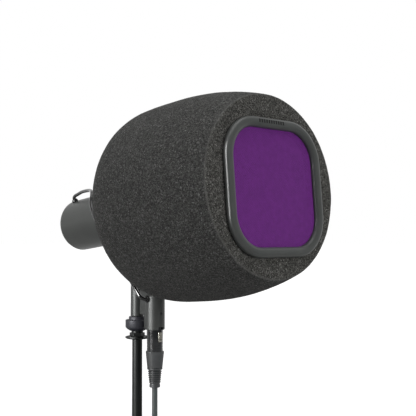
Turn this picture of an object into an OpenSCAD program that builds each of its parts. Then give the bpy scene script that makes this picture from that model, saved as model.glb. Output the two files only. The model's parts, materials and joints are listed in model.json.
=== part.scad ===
// Microphone isolation shield on a yoke-mounted end-address microphone.
// Origin: centre of the stand rod's lower end. +Z is up, the shield faces -Y,
// and X = 0 is the plane of symmetry of the shield, the microphone and the yoke.

/* [Attitude] */
// Height of the yoke pivot above the rod's lower end
pivot_h = 217; // [215:0.5:219]
// Nose-up angle of the microphone at rest
mic_tilt = 7; // [6:0.5:8]
// Angle by which the soft shield droops on the microphone
shield_sag = 2; // [1.8:0.1:2.6]
// Height of the shield's axis above the pivot
shield_rise = 2.3; // [2:0.1:3]

/* [Foam shell] */
// Largest radius of the shell
shell_r = 94.8; // [93:0.2:96]
// Distance from the pivot forward to the largest section
shell_mid = 102.4; // [100:0.2:104]
// Distance forward to the point where the outline meets the bore
shell_rear = 11.5; // [10.5:0.1:12.5]
// Distance forward to the flat front face
shell_front = 185.9; // [184:0.1:188]
// Radius of the flat front face, at its crease
crease_r = 80.8; // [79:0.1:82]
// Power of the front taper, from the largest section to the crease
front_power = 2.08; // [1.9:0.02:2.4]
// Radius of the air chamber in front of the microphone
chamber_r = 50; // [46:1:52]
// Distance forward to the chamber's rear wall
chamber_rear = 62; // [58:1:70]

/* [Pop filter] */
// Distance of the filter's centre below the shell's axis
filter_drop = 1.6; // [1:0.1:2]
// Side of the square bezel
bezel_side = 120; // [119:0.5:122]
// Corner radius of the bezel
bezel_corner = 37; // [36:0.5:38]
// Width of the bezel's front border
border_w = 9; // [8.5:0.25:10]
// Height of the bezel's front above the foam face
bezel_stand = 6.9; // [6.5:0.1:7.5]
// Gap between the foam face and the bezel's flange
shadow_gap = 1.2; // [0.8:0.1:1.5]
// Rounding of the bezel's outer front edge
bezel_round = 2.8; // [2:0.2:3]
// Rounding of the bezel's inner front edge
bezel_inner = 4.2; // [3:0.2:4.4]
// Depth of the front mesh below the bezel's front
mesh_recess = 5; // [4.6:0.1:5.4]
// Distance between the front mesh and the rear mesh
mesh_gap = 6; // [5:0.5:8]
// Side of the filter's skirt, which plugs into the foam
skirt_side = 112; // [111:0.5:113]
// Length of the skirt behind the flange
skirt_depth = 22; // [20:1:26]

/* [Microphone] */
// Outer radius of the barrel
barrel_r = 27.7; // [27.5:0.1:27.9]
// Wall thickness of the barrel
barrel_wall = 2.5; // [2:0.1:2.8]
// Length of the microphone behind the pivot
mic_rear = 102; // [98:0.5:104]
// Length of the barrel in front of the pivot
barrel_front = 22; // [20:1:24]
// Distance forward to the tip of the grille
grille_tip = 84; // [80:1:88]
// Radius of the capsule
capsule_r = 17; // [15:0.5:18]

/* [Yoke] */
// Thickness of the yoke's strap
strap_t = 2.6; // [2.4:0.1:2.8]
// Width of the yoke's strap
strap_w = 16.4; // [15:0.2:17]
// Half of the inner width between the yoke's arms
arm_x = 34; // [34:0.2:35]
// Distance from the pivot down to the inside of the strap
yoke_drop = 45; // [43:0.5:46]
// Radius of the post under the strap
post_r = 6.8; // [6.6:0.1:7]
// Distance from the post forward to the connector housing
plug_y = 28; // [27:0.5:29]
// Outer radius of the connector housing
housing_r = 9.8; // [9.7:0.1:10]
// Height of the housing's lower rim
housing_z = 99.8; // [99.2:0.1:100]
// Length of the housing
housing_h = 33.5; // [32.5:0.1:33.6]
// Radius of the tightening knobs
knob_r = 9.6; // [9:0.1:9.8]

/* [Stand] */
// Radius of the stand rod
rod_r = 5.2; // [5:0.05:5.5]
// Length of the rod up to the washer
rod_h = 88; // [86:0.5:88]
// Outer radius of the locking collar
collar_r = 12; // [11.5:0.1:12.5]

/* [Plug] */
// Outer radius of the plug's metal shell
shell_plug_r = 8.1; // [8:0.02:8.2]
// Largest radius of the boot
boot_r = 9.2; // [9:0.1:9.4]
// Height of the boot's upper rim
boot_top = 78.4; // [77.5:0.1:78.6]
// Height of the boot's lower end
boot_end = 42.7; // [42:0.1:44]
// Radius of the cable
cable_r = 2.75; // [2.5:0.05:3]
// Radius of the thin lead between the microphone and the yoke
lead_r = 1.9; // [1.7:0.05:2]

/* [Hidden] */
$fn = 96;
fine = 0.05;                        // gap between pieces that only touch
cut = 1;                            // how far a cutting tool runs past a face
wide = 400;                         // larger than the whole object
rear_power_r = 2.5;                 // power of the rear outline's radius
rear_power_s = 0.38;                // power of the rear outline's length
outline_steps = 28;
foam_grip = 0.08;                   // gap between the foam's bore and the barrel
bore_r = barrel_r + foam_grip;
bezel_front = shell_front + bezel_stand;
flange_back = shell_front + shadow_gap;
mesh_front = bezel_front - mesh_recess;
skirt_wall = 2.2;
skirt_inset = (bezel_side - skirt_side) / 2;
skirt_corner = bezel_corner - skirt_inset;
skirt_end = flange_back - skirt_depth;
cavity_side = skirt_side - 2 * skirt_wall;
cavity_corner = skirt_corner - skirt_wall;
stack_fit = 0.2;                    // gap between the mesh stack and the skirt
stack_side = cavity_side - 2 * stack_fit;
stack_corner = cavity_corner - stack_fit;
mesh_t = 0.6;
spacer_w = 3.6;
retainer_w = 5.2;
retainer_t = 3;
rear_mesh_z = mesh_front - mesh_t - mesh_gap - mesh_t;
retainer_z = rear_mesh_z - fine - retainer_t;
retainer_screw_r = 0.8;
screw_line = stack_side / 2 - 1.55; // screws' distance from the filter's centre lines
screw_spread = 20;                  // screws' distance to either side of a centre line
barrel_in = barrel_r - barrel_wall;
cap_t = 3;
barrel_back = cap_t - mic_rear;
stud_r = 3;
stud_hole_r = stud_r + 0.06;
boss_r = 8;
boss_x = arm_x - 1;
washer_t = 0.9;
knob_x = arm_x + strap_t + washer_t + 2 * fine;
strap_z = pivot_h - yoke_drop;
strap_low = strap_z - strap_t;
strap_hole_r = 4.1;
post_z = 111.4;
spigot_r = 4.7;
thread_gap = 0.04;
spigot_top = 126;
nut_z = 90.9;
adapter_z = 94.45;
adapter_r = 6;
adapter_top = 110.6;
collar_low = 96.4;
collar_top = 110.9;
housing_bore = 8.3;
housing_deep = 24;
housing_top = housing_z + housing_h;
insert_z = 114.5;
insert_top = housing_z + housing_deep - fine;
pin_r = 1.15;
pin_circle = 4;
pin_low = 104;
grub_r = 1.5;
grub_z = 116.2;
grommet_r = 3.4;
grommet_x = -12;                    // where the lead leaves the barrel
grommet_s = -92;
lead_z = 130.4;                     // where it enters the housing's side
lead_fit = 0.25;                    // gap between the lead and the grommets
lead_sides = 16;
lead_steps = 6;
never_along = [1, 0.6, 0];          // a direction in which the lead never runs
grille_z = barrel_front + 6 + fine;
grille_r = barrel_r - 0.6;
grille_wall = 1;
grille_round = 10;
grille_foam_t = 4;
grille_foam_r = grille_r - grille_wall - 0.2;
capsule_z = 38;
capsule_len = 20;
cap_screw_x = 21.5;
cap_screw_r = 1.3;
cap_post_r = 4.2;
cap_window = [26, 12];
switch_x = 6.5;                     // switches' distance from the plane of symmetry
switch_rest = -1.5;                 // resting place of the sliders along their slots
plate_z = barrel_back + fine;
plate_t = 0.8;
board_z = -93;
board_t = 1.6;
latch_z = 87.9;
latch_h = 9.6;
latch_w = 4.6;
latch_stand = 0.8;                  // how far the latch stands out of the plug's shell
shell_low = boot_top + fine;
shell_high = 112;
shell_bore = shell_plug_r - 0.9;
insert_low = 84;
plug_insert_top = 111;
contact_r = 1.7;
contact_low = 94.5;
ribs = 6;
rib_top = 58.35;                    // height of the highest rib of the boot
rib_pitch = 2.1;
rib_r = 6.95;
rib_end_r = 5.95;
rib_depth = 0.95;
boot_ring_z = 61;                   // ring between the boot's ribs and its smooth part
boot_ring_r = 7.65;
boot_waist_z = 62.5;
boot_tip_r = 5.4;
chuck_low = 64.5;

// ---------- frames ----------

// Local frame of the microphone: +z forward along the barrel, +y up, pivot at 0.
module at_mic() translate([0, 0, pivot_h]) rotate([90 - mic_tilt, 0, 0]) children();

// The same frame for the shield, which droops and rides a little higher.
module at_shield()
    translate([0, 0, pivot_h + shield_rise])
        rotate([90 - mic_tilt + shield_sag, 0, 0]) children();

// Frame of the pop filter and of its pocket in the foam.
module at_filter() at_shield() translate([0, -filter_drop, 0]) children();

// Vertical axis of the connector housing and of the cable plug.
module at_plug() translate([0, -plug_y, 0]) children();

// A point of the microphone's frame, in the frame of the whole object.
function mic_point(x, up, s) = [x,
    up * sin(mic_tilt) - s * cos(mic_tilt),
    pivot_h + up * cos(mic_tilt) + s * sin(mic_tilt)];

// ---------- general shapes ----------

module pipe(r_out, r_in, z_low, z_high) {
    translate([0, 0, z_low]) difference() {
        cylinder(r = r_out, h = z_high - z_low);
        translate([0, 0, -cut]) cylinder(r = r_in, h = z_high - z_low + 2 * cut);
    }
}

module rod(r, z_low, z_high) translate([0, 0, z_low]) cylinder(r = r, h = z_high - z_low);

// A turned piece: half of its section is given as [radius, height] points.
module turned(section) rotate_extrude() polygon(section);

// Disc with chamfered rims.
module chamfered(r, z_low, z_high, edge) {
    turned([[0, z_low], [r - edge, z_low], [r, z_low + edge], [r, z_high - edge],
        [r - edge, z_high], [0, z_high]]);
}

module rounded_square(side, corner) {
    square([side, side - 2 * corner], center = true);
    square([side - 2 * corner, side], center = true);
    for (x = [-1, 1], y = [-1, 1])
        translate([x, y] * (side / 2 - corner)) circle(r = corner);
}

module square_plate(side, corner, z_low, z_high)
    translate([0, 0, z_low]) linear_extrude(z_high - z_low) rounded_square(side, corner);

module square_ring(side, corner, inner_side, inner_corner, z_low, z_high) {
    difference() {
        square_plate(side, corner, z_low, z_high);
        square_plate(inner_side, inner_corner, z_low - cut, z_high + cut);
    }
}

// Sweeps a section round a rounded square. The section's x is 0 on the outline
// and negative inside it; its y runs along the axis.
module swept_ring(side, corner) {
    straight = side - 2 * corner;
    for (quarter = [0 : 3]) rotate([0, 0, 90 * quarter]) {
        translate([side / 2, 0, 0]) rotate([90, 0, 0])
            linear_extrude(straight, center = true) children();
        translate([straight / 2, straight / 2, 0])
            rotate_extrude(angle = 90) translate([corner, 0]) children();
    }
}

module slotted_head(r, h) {
    slot = 0.3 * r;
    difference() {
        cylinder(r = r, h = h);
        translate([0, 0, h]) cube([2 * r + cut, slot, h], center = true);
    }
}

// ---------- shield ----------

function rear_point(t) = [shell_r * pow(cos(t), rear_power_r),
    shell_mid - (shell_mid - shell_rear) * pow(sin(t) / sin(rim_angle), rear_power_s)];

function front_point(u) = [shell_r - (shell_r - crease_r) * pow(u, front_power),
    shell_mid + (shell_front - shell_mid) * u];

// Angle at which the rear outline has come in to the microphone's bore.
rim_angle = acos(pow(bore_r / shell_r, 1 / rear_power_r));

module foam_shell() {
    outline = concat([[0, shell_front]],
        [for (i = [outline_steps : -1 : 0]) front_point(i / outline_steps)],
        [for (i = [1 : outline_steps]) rear_point(rim_angle * i / outline_steps)],
        [[0, rear_point(rim_angle)[1]]]);
    color([0.24, 0.24, 0.23]) difference() {
        at_shield() turned(outline);
        at_mic() cylinder(r = bore_r, h = wide, center = true);
        at_filter() rod(chamber_r, chamber_rear, shell_front + cut);
        at_filter() square_plate(skirt_side + 0.3, skirt_corner + 0.15,
            skirt_end - 2, shell_front + cut);
    }
}

// ---------- pop filter ----------

// Section of the bezel: lip, flange and skirt, with a rounded front.
module bezel_section() {
    difference() {
        union() {
            translate([-border_w, mesh_front])
                square([border_w - bezel_round, mesh_recess - bezel_inner]);
            translate([-border_w + bezel_inner, mesh_front])
                square([border_w - bezel_inner - bezel_round, mesh_recess]);
            translate([-border_w + bezel_inner, bezel_front - bezel_inner]) intersection() {
                circle(r = bezel_inner);
                translate([-bezel_inner, 0]) square(bezel_inner);
            }
            translate([-bezel_round, bezel_front - bezel_round]) circle(r = bezel_round);
            translate([-skirt_inset - skirt_wall, flange_back])
                square([skirt_inset + skirt_wall, bezel_front - bezel_round - flange_back]);
            translate([-skirt_inset - skirt_wall, skirt_end])
                square([skirt_wall, skirt_depth + cut]);
        }
        // room for the meshes behind the lip
        translate([-border_w - cut, mesh_front - border_w])
            square([border_w + cut - skirt_inset - skirt_wall, border_w]);
        // groove that keeps the flange's back clear of the foam
        translate([-skirt_inset + 1, flange_back - fine]) square([skirt_inset - 2, 0.6]);
    }
}

module filter_bezel() {
    color([0.31, 0.32, 0.31]) at_filter() swept_ring(bezel_side, bezel_corner) bezel_section();
}

module at_retainer_screws() {
    for (quarter = [0 : 3], side = [-1, 1])
        rotate([0, 0, 90 * quarter]) translate([screw_line, side * screw_spread, 0]) children();
}

module mesh_plate(z_low) {
    difference() {
        square_plate(stack_side, stack_corner, z_low, z_low + mesh_t - fine);
        at_retainer_screws() rod(retainer_screw_r + fine, z_low - cut, z_low + cut);
    }
}

module front_mesh() color([0.36, 0.17, 0.43]) at_filter() mesh_plate(mesh_front - mesh_t);

module rear_mesh() color([0.30, 0.14, 0.36]) at_filter() mesh_plate(rear_mesh_z);

module mesh_spacer() {
    low = rear_mesh_z + mesh_t;
    color([0.2, 0.2, 0.2]) at_filter() difference() {
        square_ring(stack_side, stack_corner, stack_side - 2 * spacer_w,
            stack_corner - spacer_w, low, mesh_front - mesh_t - fine);
        at_retainer_screws() rod(retainer_screw_r + fine, low - cut, mesh_front);
    }
}

module mesh_retainer() {
    color([0.22, 0.22, 0.22]) at_filter() difference() {
        square_ring(stack_side, stack_corner, stack_side - 2 * retainer_w,
            stack_corner - retainer_w, retainer_z, retainer_z + retainer_t);
        at_retainer_screws() rod(retainer_screw_r + fine, retainer_z - cut, mesh_front);
    }
}

module retainer_screws() {
    color([0.6, 0.6, 0.62]) at_filter() at_retainer_screws() {
        rod(retainer_screw_r, retainer_z - fine, mesh_front - fine);
        translate([0, 0, retainer_z - fine]) mirror([0, 0, 1]) slotted_head(1.4, 1);
    }
}

// ---------- microphone ----------

module at_bosses() for (side = [-1, 1]) rotate([0, side * 90, 0]) children();

module at_cap_screws() for (side = [-1, 1]) translate([side * cap_screw_x, 0, 0]) children();

// Frame on the barrel's skin where the lead comes out: +z points straight out.
module at_barrel_grommet()
    translate([0, 0, grommet_s]) rotate([0, 0, asin(-grommet_x / barrel_r)])
        rotate([-90, 0, 0]) children();

module mic_barrel() {
    cap_post_h = 15;
    color([0.33, 0.345, 0.33]) at_mic() difference() {
        union() {
            pipe(barrel_r, barrel_in, barrel_back, barrel_front);
            at_bosses() rod(boss_r, barrel_in + 0.5, boss_x);
            intersection() {
                rod(barrel_in + 0.5, barrel_back, barrel_front);
                at_cap_screws() rod(cap_post_r, barrel_back + 3.1, barrel_back + cap_post_h);
            }
        }
        at_bosses() rod(stud_hole_r, barrel_in - 2, boss_x + cut);
        at_cap_screws() rod(cap_screw_r, barrel_back, barrel_back + cap_post_h - 3);
        at_barrel_grommet() rod(grommet_r - 0.8, barrel_in - 2, barrel_r + cut);
    }
}

// Ring that joins the barrel to the grille, stepped into the barrel.
module front_ring() {
    step = 3;
    hollow = barrel_in - 2;
    color([0.3, 0.3, 0.3]) at_mic() {
        pipe(barrel_in - fine, hollow, barrel_front - step, barrel_front + 2 * fine);
        pipe(barrel_r - 0.4, hollow, barrel_front + fine, grille_z - fine);
    }
}

module grille_outline(r, tip) {
    bend = r - grille_r + grille_round;
    translate([0, grille_z]) square([r, tip - grille_z - bend]);
    translate([0, grille_z]) square([r - bend, tip - grille_z]);
    intersection() {
        translate([r - bend, tip - bend]) circle(r = bend);
        translate([0, grille_z]) square([r, tip]);
    }
}

module mic_grille() {
    rows = 4;
    slots = 12;
    slot = 8;
    pitch = 11;
    color([0.2, 0.2, 0.2]) at_mic() difference() {
        rotate_extrude() grille_outline(grille_r, grille_tip);
        rotate_extrude() grille_outline(grille_r - grille_wall, grille_tip - grille_wall);
        rod(grille_r - grille_wall, grille_z - cut, grille_z + cut);
        for (row = [0 : rows - 1], turn = [0 : slots / 2 - 1])
            rotate([0, 0, 360 / slots * turn]) translate([0, 0, grille_z + slot + pitch * row])
                cube([wide / 4, slot, slot], center = true);
    }
}

module grille_foam() {
    tip = grille_tip - grille_round - 1;
    color([0.12, 0.12, 0.12]) at_mic() difference() {
        rod(grille_foam_r, grille_z + fine, tip);
        rod(grille_foam_r - grille_foam_t, grille_z - cut, tip - grille_foam_t);
    }
}

module capsule() {
    port_r = 1.4;
    port_deep = 2.5;
    face = capsule_z + capsule_len;
    color([0.55, 0.55, 0.52]) at_mic() difference() {
        chamfered(capsule_r, capsule_z, face, 1);
        for (ring = [0, 1], turn = [0 : 5 + 4 * ring])
            rotate([0, 0, 360 / (6 + 4 * ring) * turn]) translate([6 + 5 * ring, 0, 0])
                rod(port_r, face - port_deep, face + cut);
    }
}

module capsule_isolators() {
    width = 4;
    outer = grille_foam_r - grille_foam_t - fine;
    color([0.1, 0.1, 0.1]) at_mic()
        for (z = [capsule_z + 2, capsule_z + capsule_len - 2 - width])
            pipe(outer, capsule_r + fine, z, z + width);
}

module rear_cap() {
    rim = 3;
    spigot_h = 2.4;
    soft = 2;
    head_deep = 1.5;
    color([0.3, 0.31, 0.3]) at_mic() difference() {
        union() {
            turned([[0, -mic_rear], [barrel_r - soft, -mic_rear],
                [barrel_r - 0.3 * soft, -mic_rear + 0.3 * soft], [barrel_r, -mic_rear + soft],
                [barrel_r, barrel_back - fine], [0, barrel_back - fine]]);
            rod(barrel_in - fine, barrel_back - 2 * fine, barrel_back + spigot_h);
        }
        rod(barrel_in - rim, barrel_back, barrel_back + spigot_h + cut);
        translate([0, 0, -mic_rear]) cube([cap_window[0], cap_window[1], 3 * cap_t], center = true);
        at_cap_screws() rod(cap_screw_r, -mic_rear - cut, barrel_back + rim + cut);
        at_cap_screws() rod(2.7, -mic_rear - cut, -mic_rear + head_deep);
    }
}

module rear_cap_screws() {
    head = -mic_rear + 1.45;
    color([0.15, 0.15, 0.15]) at_mic() at_cap_screws() {
        rod(cap_screw_r - fine, head - fine, barrel_back + 10);
        translate([0, 0, head]) mirror([0, 0, 1]) slotted_head(2.6, 1.3);
    }
}

module switch_plate() {
    slot = [2.6, 7.4];
    color([0.45, 0.45, 0.46]) at_mic() difference() {
        translate([0, 0, plate_z + plate_t / 2])
            cube([cap_window[0] + 6, cap_window[1] + 4, plate_t], center = true);
        for (side = [-1, 1]) translate([side * switch_x, 0, plate_z])
            cube([slot[0], slot[1], 3 * plate_t], center = true);
    }
}

module switch_board() {
    body = [8, 9, 2.6];
    color([0.1, 0.25, 0.15]) at_mic() union() {
        translate([0, 0, board_z + board_t / 2]) cube([33, 20, board_t], center = true);
        for (side = [-1, 1]) translate([side * switch_x, 0, board_z + 0.1 - body[2] / 2])
            cube(body, center = true);
    }
}

// One slider of the switch board: a finger that stands through the plate's slot.
module slider(side) {
    finger = [2.2, 2.4];
    foot = [4.2, 4.6, 1.2];
    foot_z = plate_z + plate_t + fine;
    color([0.12, 0.12, 0.12]) at_mic() translate([side * switch_x, switch_rest, 0]) {
        translate([0, 0, foot_z + foot[2] / 2]) cube(foot, center = true);
        translate([-finger[0] / 2, -finger[1] / 2, -mic_rear + 0.8])
            cube([finger[0], finger[1], foot_z + 0.5 + mic_rear - 0.8]);
    }
}

module low_cut_switch() slider(-1);

module presence_switch() slider(1);

module barrel_grommet() {
    hole = grommet_r - 0.8 - fine;
    color([0.08, 0.08, 0.08]) at_mic() at_barrel_grommet()
        turned([[lead_r + lead_fit, barrel_in - 2], [grommet_r, barrel_in - 2],
            [grommet_r, barrel_in - 0.5], [hole, barrel_in - 0.5], [hole, barrel_r + fine],
            [grommet_r, barrel_r + fine], [grommet_r, barrel_r + 1], [lead_r + 0.9, barrel_r + 2.6],
            [lead_r + lead_fit, barrel_r + 2.6]]);
}

// ---------- lead from the microphone to the yoke ----------

// A point at a distance from the barrel's axis, on or ahead of the grommet's axis.
function out_point(distance, ahead = 0) = mic_point(distance * grommet_x / barrel_r,
    distance * sqrt(1 - pow(grommet_x / barrel_r, 2)), grommet_s + ahead);

// Points on the lead's route: out of the barrel, over its top, down its side,
// under the yoke's arm and into the side of the connector housing.
lead_route = [
    out_point(20), out_point(23.6), out_point(27), out_point(30.3),
    out_point(32.6, 1.5), out_point(34, 5), out_point(34.8, 10.4),
    mic_point(grommet_x - 4.2, 32.4, grommet_s + 21),
    mic_point(grommet_x - 7, 30.6, grommet_s + 39),
    mic_point(grommet_x - 12, 24.5, grommet_s + 48),
    mic_point(grommet_x - 16, 14, grommet_s + 51),
    mic_point(grommet_x - 19, -1, grommet_s + 60),
    mic_point(grommet_x - 17, -15, grommet_s + 66),
    [grommet_x - 9.5, 17, strap_z + 8],
    [grommet_x - 4.8, 9, strap_low - 8],
    [grommet_x - 4, -5, strap_low - 17.5],
    [grommet_x - 5.6, -17.5, lead_z + 11.2],
    [grommet_x - 5.6, -plug_y + 3.2, lead_z + 4],
    [grommet_x - 3.3, -plug_y + 0.8, lead_z + 1.1],
    [grommet_x + 0.3, -plug_y, lead_z],
    [grommet_x + 4, -plug_y, lead_z],
    [grommet_x + 7.5, -plug_y, lead_z],
    [grommet_x + 11, -plug_y, lead_z]];

// Smooth curve through four neighbouring points of the route, from b to c.
function blend_point(a, b, c, d, t) = (2 * b + (c - a) * t
    + (2 * a - 5 * b + 4 * c - d) * pow(t, 2) + (3 * b - a - 3 * c + d) * pow(t, 3)) / 2;

function unit(v) = v / norm(v);

lead_line = [for (i = [1 : len(lead_route) - 3], k = [0 : lead_steps - 1])
    blend_point(lead_route[i - 1], lead_route[i], lead_route[i + 1], lead_route[i + 2],
        k / lead_steps)];

// Tube along a line of points.
module tube_along(line, r, sides) {
    last = len(line) - 1;
    rings = [for (i = [0 : last])
        let (along = unit(line[min(i + 1, last)] - line[max(i - 1, 0)]),
            side = unit(cross(along, never_along)), other = cross(along, side))
        for (k = [0 : sides - 1])
            line[i] + r * (cos(360 * k / sides) * side + sin(360 * k / sides) * other)];
    walls = [for (i = [0 : last - 1], k = [0 : sides - 1])
        [i * sides + k, i * sides + (k + 1) % sides,
            (i + 1) * sides + (k + 1) % sides, (i + 1) * sides + k]];
    ends = [[for (k = [sides - 1 : -1 : 0]) k], [for (k = [0 : sides - 1]) last * sides + k]];
    polyhedron(rings, concat(walls, ends));
}

module mic_lead() color([0.05, 0.05, 0.05]) tube_along(lead_line, lead_r, lead_sides);

// ---------- yoke ----------

module strap_outline(half_w, bottom, bend) {
    top = pivot_h + strap_w;
    translate([-half_w, bottom + bend]) square([2 * half_w, top - bottom]);
    translate([-half_w + bend, bottom]) square([2 * (half_w - bend), bend + cut]);
    for (side = [-1, 1]) translate([side * (half_w - bend), bottom + bend]) circle(r = bend);
}

module yoke_strap() {
    bend = 12;
    color([0.27, 0.28, 0.27]) difference() {
        intersection() {
            rotate([90, 0, 0]) linear_extrude(wide, center = true)
                difference() {
                    strap_outline(arm_x + strap_t, strap_low, bend + strap_t);
                    strap_outline(arm_x, strap_z, bend);
                }
            rotate([90, 0, 90]) linear_extrude(wide, center = true) {
                translate([-strap_w / 2, strap_low - cut])
                    square([strap_w, pivot_h - strap_low + cut]);
                translate([0, pivot_h]) circle(r = strap_w / 2);
            }
        }
        translate([0, 0, pivot_h]) at_bosses() rod(strap_hole_r, arm_x - cut, arm_x + strap_t + cut);
        rod(2.6, strap_low - cut, strap_z + cut);
    }
}

module yoke_screw() {
    color([0.5, 0.5, 0.5]) difference() {
        union() {
            rod(2.5, strap_low - 12, strap_z + 2 * fine);
            translate([0, 0, strap_z + fine]) chamfered(4.8, 0, 3, 0.4);
        }
        translate([0, 0, strap_z + 1.2]) cylinder(r = 2.3, h = 3, $fn = 6);
    }
}

// Axis of the lead's hole in the housing, from inside outwards.
module at_lead_hole() translate([0, 0, lead_z]) rotate([0, -90, 0]) children();

// Post, web and connector housing, cast in one piece.
module yoke_block() {
    web_t = 3.8;
    web_top = 144;
    web_step = 113.5;
    step_y = 13.1;
    notch = [6, 4, 3];
    lead_pocket = 5.6;
    color([0.36, 0.37, 0.365]) difference() {
        union() {
            chamfered(post_r, post_z, strap_low - fine, 0.4);
            at_plug() chamfered(housing_r, housing_z, housing_top, 0.5);
            rotate([90, 0, 90]) linear_extrude(web_t, center = true)
                polygon([[0, web_step], [0, web_top], [-post_r, web_top],
                    [-plug_y, housing_top - 1], [-plug_y, web_step]]);
            translate([-web_t / 2, -plug_y, housing_z + 0.6])
                cube([web_t, plug_y - step_y, web_step - housing_z]);
        }
        rod(spigot_r + thread_gap, post_z - cut, spigot_top + cut);
        rod(2.5 + fine, strap_low - 13, strap_low + cut);
        at_plug() {
            rod(housing_bore, housing_z - cut, housing_z + housing_deep);
            translate([0, -housing_r, housing_z + notch[2] / 2 - fine]) cube(notch, center = true);
            translate([0, 0, grub_z]) rotate([90, 0, 0])
                rod(grub_r + fine, housing_bore - cut, housing_r + cut);
            at_lead_hole() rod(grommet_r - 0.8, 0, housing_r + cut);
            rod(lead_pocket, housing_z + housing_deep - cut, lead_z);
        }
    }
}

module at_pivot() translate([0, 0, pivot_h]) children();

module friction_washers() {
    color([0.75, 0.75, 0.7]) at_pivot() at_bosses()
        for (x = [arm_x - washer_t - fine, arm_x + strap_t + fine])
            pipe(boss_r - 0.4, stud_hole_r, x, x + washer_t);
}

// Knob with its stud along +z, which runs in through the strap to the barrel.
module knob() {
    grip_z = knob_x + 3;
    flutes = 20;
    difference() {
        union() {
            rod(stud_r, barrel_in + 1.5, knob_x + cut);
            rod(7.6, knob_x, grip_z + cut);
            chamfered(knob_r, grip_z, grip_z + 10, 1);
        }
        for (turn = [0 : flutes - 1]) rotate([0, 0, 360 / flutes * turn])
            translate([knob_r + 0.35, 0, 0]) rod(0.9, grip_z - cut, grip_z + 10 + cut);
        rod(3.4, grip_z + 9, grip_z + 10 + cut);
    }
}

module left_knob() color([0.1, 0.1, 0.1]) at_pivot() rotate([0, -90, 0]) knob();

module right_knob() color([0.1, 0.1, 0.1]) at_pivot() rotate([0, 90, 0]) knob();

module at_pins() at_plug() for (turn = [90, 210, 330])
    rotate([0, 0, turn]) translate([pin_circle, 0, 0]) children();

module connector_insert() {
    color([0.08, 0.08, 0.08]) difference() {
        at_plug() rod(housing_bore - 0.03, insert_z, insert_top);
        at_pins() rod(pin_r + 0.02, insert_z - cut, insert_top + cut);
    }
}

module connector_pins() {
    tip = 0.5;
    color([0.75, 0.72, 0.6]) at_pins()
        turned([[0, pin_low], [pin_r - tip, pin_low], [pin_r, pin_low + tip],
            [pin_r, insert_top - 3.6], [0, insert_top - 3.6]]);
}

module insert_screw() {
    color([0.2, 0.2, 0.2]) at_plug() translate([0, 0, grub_z]) rotate([90, 0, 0]) difference() {
        rod(grub_r, housing_bore + fine, housing_r - 0.3);
        rod(0.75, housing_r - 1, housing_r + cut, $fn = 6);
    }
}

module yoke_grommet() {
    hole = grommet_r - 0.8 - fine;
    sleeve = 3;
    color([0.08, 0.08, 0.08]) at_plug() at_lead_hole()
        turned([[lead_r + lead_fit, housing_r - sleeve], [hole, housing_r - sleeve],
            [hole, housing_r + fine], [grommet_r, housing_r + fine],
            [grommet_r, housing_r + 0.8], [lead_r + 0.8, housing_r + 1.8],
            [lead_r + lead_fit, housing_r + 1.8]]);
}

// ---------- stand ----------

module stand_rod() {
    color([0.16, 0.165, 0.165]) turned([[0, 0], [rod_r, 0], [rod_r, rod_h], [spigot_r, rod_h],
        [spigot_r, spigot_top - 0.6], [spigot_r - 0.6, spigot_top], [0, spigot_top]]);
}

module dished_washer() {
    hub_r = 6.6;
    outer_r = 12.4;
    t = 1.1;
    low = rod_h + fine;
    color([0.15, 0.15, 0.15]) turned([[spigot_r + thread_gap, low], [hub_r, low],
        [outer_r - 1.4, low + 0.3], [outer_r, low + 1.5], [outer_r - 0.3, low + 2.5],
        [outer_r - 0.9, low + 2.3], [outer_r - 1.8, low + t + 0.3], [hub_r, low + t],
        [hub_r, nut_z - fine], [spigot_r + thread_gap, nut_z - fine]]);
}

module jam_nut() {
    corner_r = 7.8;
    nut_t = 3.5;
    color([0.17, 0.18, 0.18]) translate([0, 0, nut_z]) difference() {
        rotate([0, 0, 20]) cylinder(r = corner_r, h = nut_t, $fn = 6);
        translate([0, 0, -cut]) cylinder(r = spigot_r + thread_gap, h = nut_t + 2 * cut);
    }
}

module thread_adapter() {
    color([0.25, 0.25, 0.24]) pipe(adapter_r, spigot_r + thread_gap, adapter_z, adapter_top);
}

module lock_collar() {
    bore = adapter_r + 0.05;
    skirt_z = 98.7;
    shoulder_z = 107.5;
    neck_r = 8.6;
    color([0.2, 0.2, 0.235]) turned([[bore, collar_low], [bore + 1.4, collar_low],
        [collar_r - 1.6, skirt_z - 0.4], [collar_r - 0.5, skirt_z + 0.7],
        [collar_r, skirt_z + 1.8], [collar_r, shoulder_z - 0.4], [collar_r - 0.4, shoulder_z],
        [neck_r + 0.6, shoulder_z],
        [neck_r, shoulder_z + 0.8], [neck_r, collar_top - 0.6], [neck_r - 0.6, collar_top],
        [bore, collar_top]]);
}

// ---------- cable plug ----------

module plug_shell() {
    groove_z = [81.6, 84.2];
    groove_h = 0.7;
    color([0.1, 0.11, 0.12]) at_plug() difference() {
        turned([[shell_bore, shell_low], [shell_plug_r, shell_low],
            [shell_plug_r, shell_high - 0.8], [shell_plug_r - 0.6, shell_high],
            [shell_bore, shell_high]]);
        for (z = groove_z) pipe(shell_plug_r + cut, shell_plug_r - 0.4, z, z + groove_h);
        translate([0, -shell_plug_r, latch_z + latch_h / 2])
            cube([latch_w + 0.4, 4, latch_h + 0.6], center = true);
    }
}

module plug_latch() {
    back = shell_plug_r - 1.5;
    front = shell_plug_r + latch_stand;
    color([0.75, 0.75, 0.7]) at_plug() rotate([90, 0, 90])
        linear_extrude(latch_w, center = true)
            polygon([[-back, latch_z], [-front + 0.5, latch_z], [-front, latch_z + 0.6],
                [-front, latch_z + latch_h / 2], [-shell_plug_r - 0.15, latch_z + latch_h],
                [-back, latch_z + latch_h]]);
}

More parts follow.
